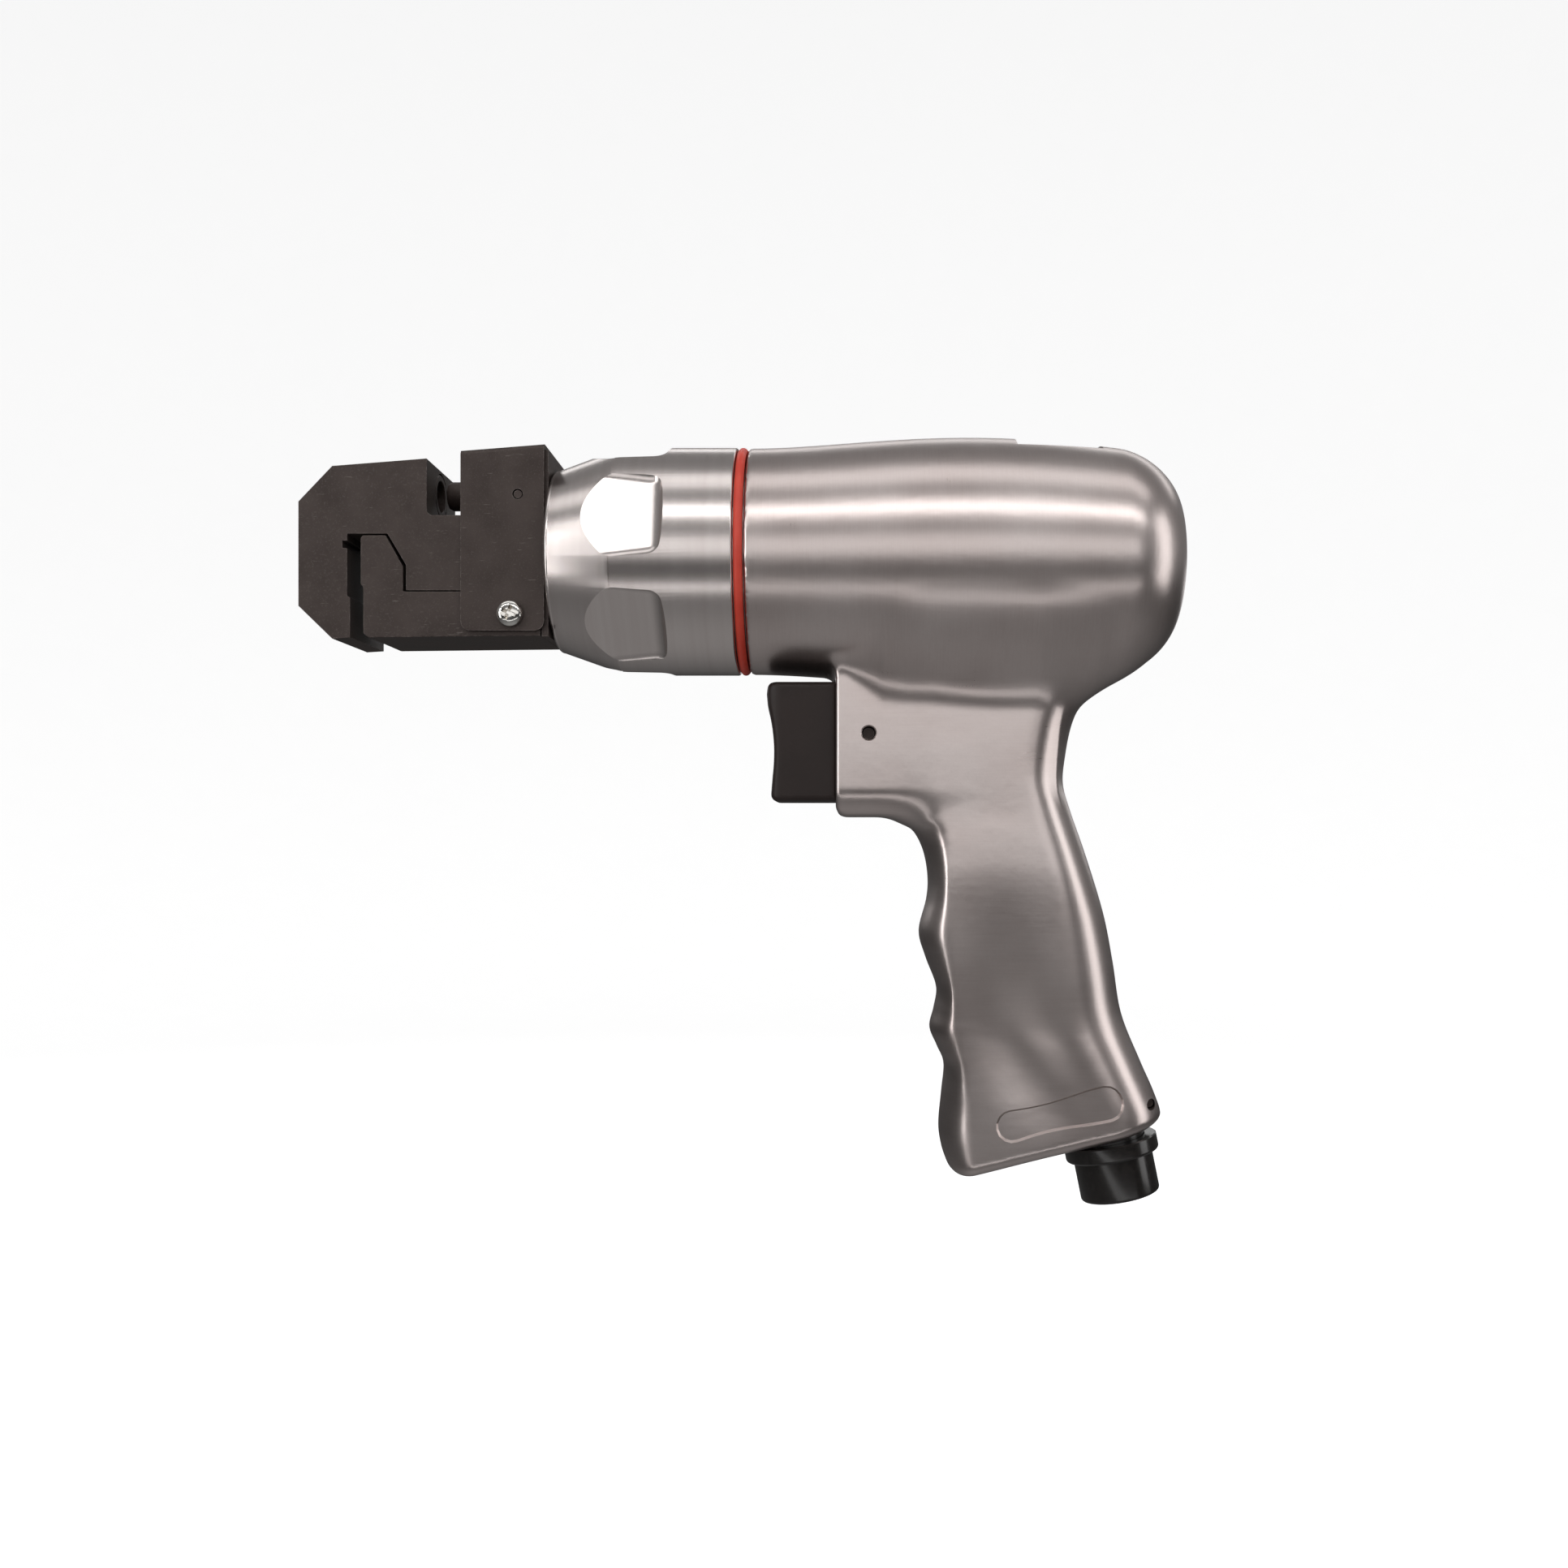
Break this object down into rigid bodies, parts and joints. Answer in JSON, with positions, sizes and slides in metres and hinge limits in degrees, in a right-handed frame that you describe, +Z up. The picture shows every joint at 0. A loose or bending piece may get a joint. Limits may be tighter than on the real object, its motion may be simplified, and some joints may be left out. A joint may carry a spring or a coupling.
{
  "type": "pneumatic punch and flange gun",
  "caption": "Pistol-shaped air tool that punches holes and joggles sheet edges, with a swivelling steel head, turned nose, cast grip, trigger and air inlet.",
  "frame": {"origin": "where the tool's axis meets the flat front face of the punch head", "axes": "+X along the tool's axis to the rear, +Z up with the grip pointing down, -Y the side with the cover screw"},
  "size_m": [0.2411, 0.068, 0.2125],
  "materials": {
    "black_steel": "satin black oxide",
    "tool_steel": "ground",
    "cast_aluminium": "brushed casting",
    "turned_aluminium": "turned",
    "chrome": "bright",
    "brass": "machined brass",
    "spring_steel": "drawn wire",
    "rubber": "matt",
    "trigger_plastic": "moulded satin",
    "black_inlet": "gloss black",
    "red_ring": "satin red",
    "felt": "porous"
  },
  "bodies": {
    "housing": {"body_housing": "cast_aluminium", "nose_cap": "turned_aluminium", "seal_ring": "red_ring", "thrust_cage": "tool_steel", "front_bulkhead": "turned_aluminium", "rod_bush": "brass", "rear_bumper": "rubber", "piston_return_spring": "spring_steel", "trigger_pin": "black_steel", "valve_bush": "brass", "valve_spring": "spring_steel", "inlet_bushing": "black_inlet", "exhaust_muffler": "felt", "inlet_o_ring": "rubber", "inlet_screen": "brass", "inlet_pin": "black_steel"},
    "head": {"punch_frame": "black_steel", "die_button": "black_steel", "punch_guide_bush": "brass", "cover_plate": "black_steel", "cover_screw": "chrome", "cover_screw_nut": "chrome", "cover_pin_near": "black_steel", "cover_pin_far": "black_steel", "ram_return_spring": "spring_steel"},
    "pusher": {"pusher_plate": "tool_steel", "punch": "black_steel"},
    "jaw": {"flange_jaw": "black_steel"},
    "ram": {"ram": "tool_steel"},
    "piston": {"piston": "turned_aluminium", "piston_seal": "rubber", "piston_nut": "tool_steel", "wedge_rod": "tool_steel"},
    "upper_pin": {"roller_pin_top": "tool_steel"},
    "upper_roller": {"roller_top": "tool_steel"},
    "lower_pin": {"roller_pin_bottom": "tool_steel"},
    "lower_roller": {"roller_bottom": "tool_steel"},
    "trigger": {"trigger": "trigger_plastic", "valve_stem": "brass", "valve_o_ring": "rubber"},
    "deflector": {"exhaust_deflector": "black_inlet"}
  },
  "joints": [
    {"name": "head_swivel", "type": "hinge", "parent": "housing", "child": "head", "pos_m": [0, 0, 0], "axis": [1, 0, 0], "continuous": true},
    {"name": "piston_stroke", "type": "slide", "parent": "housing", "child": "piston", "axis": [-1, 0, 0], "range_m": [0, 0.024], "stiffness_N_per_m": 400, "springref_m": -0.03, "deforming": ["piston_return_spring"]},
    {"name": "ram_slide", "type": "slide", "parent": "housing", "child": "ram", "axis": [-1, 0, 0], "range_m": [0, 0.0032]},
    {"name": "upper_roller_lift", "type": "slide", "parent": "housing", "child": "upper_pin", "axis": [0, 0, 1], "range_m": [0, 0.0052]},
    {"name": "lower_roller_lift", "type": "slide", "parent": "housing", "child": "lower_pin", "axis": [0, 0, -1], "range_m": [0, 0.0052]},
    {"name": "upper_roller_spin", "type": "hinge", "parent": "upper_pin", "child": "upper_roller", "pos_m": [0.1016, 0, 0.0073], "axis": [0, 1, 0], "continuous": true},
    {"name": "lower_roller_spin", "type": "hinge", "parent": "lower_pin", "child": "lower_roller", "pos_m": [0.1016, 0, -0.0073], "axis": [0, 1, 0], "continuous": true},
    {"name": "pusher_slide", "type": "slide", "parent": "head", "child": "pusher", "axis": [-1, 0, 0], "range_m": [0, 0.0032], "deforming": ["ram_return_spring"]},
    {"name": "jaw_slide", "type": "slide", "parent": "head", "child": "jaw", "axis": [-1, 0, 0], "range_m": [0, 0.0032]},
    {"name": "trigger_pull", "type": "slide", "parent": "housing", "child": "trigger", "axis": [1, 0, 0], "range_m": [0, 0.005], "stiffness_N_per_m": 600, "springref_m": -0.006, "deforming": ["valve_spring"]},
    {"name": "deflector_turn", "type": "hinge", "parent": "housing", "child": "deflector", "pos_m": [0.2248, 0, -0.1765], "axis": [0.1959, 0, -0.9806], "continuous": true}
  ],
  "couplings": [
    {"joint": "ram_slide", "follows": "piston_stroke", "ratio": 0.13333},
    {"joint": "upper_roller_lift", "follows": "piston_stroke", "ratio": 0.21667},
    {"joint": "lower_roller_lift", "follows": "piston_stroke", "ratio": 0.21667},
    {"joint": "pusher_slide", "follows": "piston_stroke", "ratio": 0.13333},
    {"joint": "jaw_slide", "follows": "piston_stroke", "ratio": 0.13333}
  ]
}
